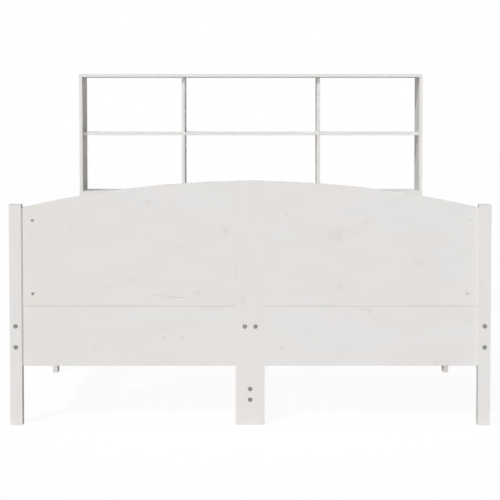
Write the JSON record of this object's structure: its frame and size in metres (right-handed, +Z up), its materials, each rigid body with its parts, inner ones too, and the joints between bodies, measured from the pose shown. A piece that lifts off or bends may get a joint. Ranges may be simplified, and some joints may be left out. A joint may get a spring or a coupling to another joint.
{
  "type": "bookcase headboard bed",
  "caption": "Double bed with an arched footboard, slatted deck and an open bookcase with dividers standing behind its head.",
  "frame": {"origin": "on the floor, in the middle of the rectangle that the whole bed covers", "axes": "+X to the right as seen from the foot end, +Y from the foot to the head and the bookcase, +Z up"},
  "size_m": [1.66, 2.2916, 1.255],
  "materials": {
    "white_painted_pine": "thin matt white paint over pine, grain and knots showing faintly",
    "bare_pine": "planed, unpainted",
    "beech_dowel": "bare",
    "zinc_plated_steel": "bright zinc plating"
  },
  "bodies": {
    "root": {"beam_screws": "zinc_plated_steel", "bed_dowels": "beech_dowel", "bookcase_base_partition_left": "white_painted_pine", "bookcase_base_partition_right": "white_painted_pine", "bookcase_bottom_shelf": "white_painted_pine", "bookcase_dowels": "beech_dowel", "bookcase_fixing_screws": "zinc_plated_steel", "bookcase_front_lower": "white_painted_pine", "bookcase_front_upper": "white_painted_pine", "bookcase_lower_divider_left": "white_painted_pine", "bookcase_lower_divider_right": "white_painted_pine", "bookcase_middle_shelf": "white_painted_pine", "bookcase_screws": "zinc_plated_steel", "bookcase_side_left": "white_painted_pine", "bookcase_side_right": "white_painted_pine", "bookcase_top": "white_painted_pine", "bookcase_upper_divider_left": "white_painted_pine", "bookcase_upper_divider_right": "white_painted_pine", "centre_beam_foot": "white_painted_pine", "centre_beam_head": "white_painted_pine", "centre_bolts": "zinc_plated_steel", "centre_low_rail_foot": "white_painted_pine", "centre_low_rail_head": "white_painted_pine", "centre_mid_leg": "white_painted_pine", "centre_upright_foot": "white_painted_pine", "centre_upright_head": "white_painted_pine", "foot_centre_plank": "white_painted_pine", "foot_lower_board_left": "white_painted_pine", "foot_lower_board_right": "white_painted_pine", "foot_post_left": "white_painted_pine", "foot_post_right": "white_painted_pine", "foot_upper_panel_left": "white_painted_pine", "foot_upper_panel_right": "white_painted_pine", "head_centre_plank": "white_painted_pine", "head_lower_board_left": "white_painted_pine", "head_lower_board_right": "white_painted_pine", "head_post_left": "white_painted_pine", "head_post_right": "white_painted_pine", "joining_plates": "zinc_plated_steel", "ledge_screws": "zinc_plated_steel", "mid_leg_left": "white_painted_pine", "mid_leg_right": "white_painted_pine", "panel_barrel_nuts": "zinc_plated_steel", "panel_bolts": "zinc_plated_steel", "plank_screws": "zinc_plated_steel", "plate_screws": "zinc_plated_steel", "rail_barrel_nuts": "zinc_plated_steel", "rail_bolts": "zinc_plated_steel", "side_rail_left_foot": "white_painted_pine", "side_rail_left_head": "white_painted_pine", "side_rail_right_foot": "white_painted_pine", "side_rail_right_head": "white_painted_pine", "slat_ledge_left_foot": "white_painted_pine", "slat_ledge_left_head": "white_painted_pine", "slat_ledge_right_foot": "white_painted_pine", "slat_ledge_right_head": "white_painted_pine", "slat_screws": "zinc_plated_steel", "slats_left": "bare_pine", "slats_right": "bare_pine"}
  },
  "joints": []
}
